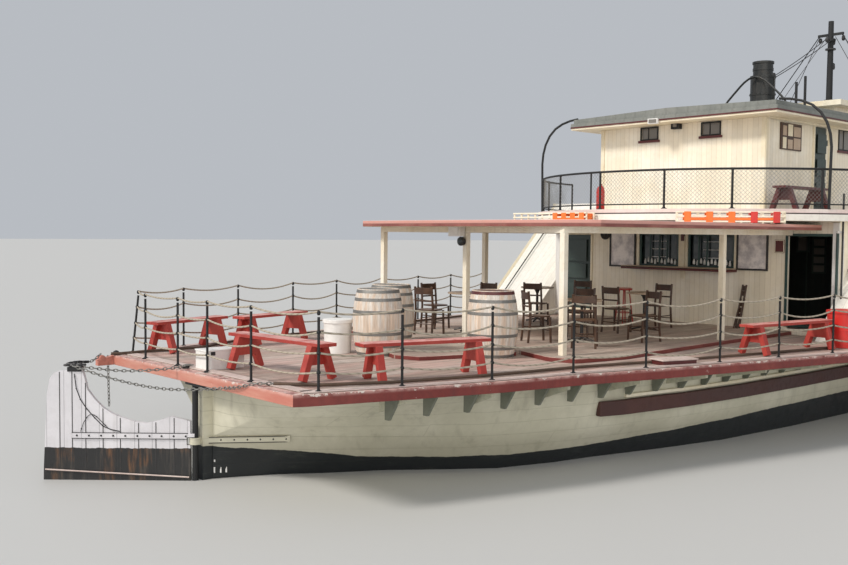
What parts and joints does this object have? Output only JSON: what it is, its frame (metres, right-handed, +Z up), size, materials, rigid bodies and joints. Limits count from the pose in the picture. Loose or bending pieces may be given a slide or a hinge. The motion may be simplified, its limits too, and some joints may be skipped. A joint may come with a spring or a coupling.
{
  "type": "river paddle steamer",
  "caption": "Side-wheel river steamer with an awning over its after deck, a round-ended upper deck, a lowering funnel, a mast and boom and a high plank rudder.",
  "frame": {"origin": "on the centreline at the waterline, halfway along the hull", "axes": "+X to the bow, +Y to port, +Z up"},
  "size_m": [35.8489, 10.4, 9.66],
  "materials": {
    "cream_paint": "weathered paint on boards",
    "hull_paint": "paint over planks, black below",
    "white_paint": "weathered paint",
    "maroon_paint": "paint, faded where the sun falls",
    "red_paint": "worn paint",
    "deck_planks": "bare grey planks",
    "black_iron": "black paint",
    "machinery": "painted iron",
    "roof_paint": "painted canvas over boards",
    "green_paint": "gloss paint",
    "oak": "weathered oak",
    "varnished_wood": "varnish",
    "orange_paint": "faded"
  },
  "bodies": {
    "steamer": {"hull": "hull_paint", "main_deck": "deck_planks", "deck_guard": "maroon_paint", "port_rubbing_strake": "maroon_paint", "starboard_rubbing_strake": "maroon_paint", "sternpost": "white_paint", "bench_starboard_aft": "red_paint", "bench_stern": "red_paint", "bench_port_aft": "red_paint", "bench_port": "red_paint", "bench_starboard_mid": "red_paint", "bench_upper_deck": "red_paint", "barrel_aft": "oak", "barrel_port": "oak", "barrel_starboard": "oak", "deck_box": "white_paint", "white_bin": "white_paint", "red_bin": "red_paint", "platform": "deck_planks", "awning_frame": "cream_paint", "awning_roof": "maroon_paint", "upper_deck": "cream_paint", "deckhouse": "cream_paint", "port_paddle_box": "cream_paint", "starboard_paddle_box": "cream_paint", "boiler": "machinery", "engine": "machinery", "upper_cabin": "cream_paint", "cabin_roof": "roof_paint", "wheelhouse": "cream_paint", "wheelhouse_roof": "roof_paint", "funnel_casing": "black_iron", "mast": "black_iron", "port_hoop": "black_iron", "starboard_hoop": "black_iron", "after_rail": "black_iron", "fore_rail": "black_iron", "upper_aft_rail": "black_iron", "upper_fore_rail": "black_iron", "starboard_float_rack": "orange_paint", "port_float_rack": "orange_paint", "hatch_coaming": "maroon_paint", "bow_bitts": "black_iron"},
    "paddles": {"paddle_shaft": "machinery", "port_paddle_wheel": "red_paint", "starboard_paddle_wheel": "red_paint"},
    "rudder": {"rudder": "white_paint"},
    "steering_wheel": {"steering_wheel": "varnished_wood"},
    "funnel": {"funnel": "black_iron"},
    "gooseneck": {"boom_gooseneck": "black_iron"},
    "boom": {"cargo_boom": "varnished_wood"},
    "starboard_saloon_door": {"starboard_saloon_door": "green_paint"},
    "port_saloon_door": {"port_saloon_door": "green_paint"},
    "port_cabin_door": {"port_cabin_door": "green_paint"},
    "starboard_cabin_door": {"starboard_cabin_door": "green_paint"},
    "wheelhouse_door": {"wheelhouse_door": "green_paint"},
    "hatch_lid": {"hatch_lid": "deck_planks"}
  },
  "joints": [
    {"name": "paddle_turn", "type": "hinge", "parent": "steamer", "child": "paddles", "pos_m": [-2.6, 0, 1.8], "axis": [0, 1, 0], "continuous": true},
    {"name": "rudder_swing", "type": "hinge", "parent": "steamer", "child": "rudder", "pos_m": [-17.075, 0, 0.7], "axis": [0, 0, 1], "range_deg": [0, 83.6]},
    {"name": "helm_turn", "type": "hinge", "parent": "steamer", "child": "steering_wheel", "pos_m": [0.06, 0, 5.2], "axis": [1, 0, 0], "range_deg": [-4, 840]},
    {"name": "funnel_lower", "type": "hinge", "parent": "steamer", "child": "funnel", "pos_m": [-2.67, 0, 6.225], "axis": [0, -1, 0], "range_deg": [0, 85]},
    {"name": "boom_slew", "type": "hinge", "parent": "steamer", "child": "gooseneck", "pos_m": [1, 0, 4.9], "axis": [0, 0, 1], "range_deg": [-60, 60]},
    {"name": "boom_luff", "type": "hinge", "parent": "gooseneck", "child": "boom", "pos_m": [1.27, 0, 4.9], "axis": [0, -1, 0], "range_deg": [-10, 45]},
    {"name": "starboard_saloon_door_swing", "type": "hinge", "parent": "steamer", "child": "starboard_saloon_door", "pos_m": [-5.4247, -3.33, 2.5], "axis": [0, 0, 1], "range_deg": [0, 90]},
    {"name": "port_saloon_door_swing", "type": "hinge", "parent": "steamer", "child": "port_saloon_door", "pos_m": [-5.5153, 3.33, 2.5], "axis": [0, 0, -1], "range_deg": [0, 100]},
    {"name": "port_cabin_door_swing", "type": "hinge", "parent": "steamer", "child": "port_cabin_door", "pos_m": [-3.17, 2.0153, 4.8], "axis": [0, 0, -1], "range_deg": [0, 100]},
    {"name": "starboard_cabin_door_swing", "type": "hinge", "parent": "steamer", "child": "starboard_cabin_door", "pos_m": [-3.17, -2.0153, 4.8], "axis": [0, 0, 1], "range_deg": [0, 100]},
    {"name": "wheelhouse_door_swing", "type": "hinge", "parent": "steamer", "child": "wheelhouse_door", "pos_m": [-0.35, 1.1653, 5.3], "axis": [0, 0, -1], "range_deg": [0, 100]},
    {"name": "hatch_lid_lift", "type": "hinge", "parent": "steamer", "child": "hatch_lid", "pos_m": [9.11, 0, 1.89], "axis": [0, 1, 0], "range_deg": [0, 100]}
  ],
  "couplings": [
    {"joint": "helm_turn", "follows": "rudder_swing", "ratio": 10}
  ]
}
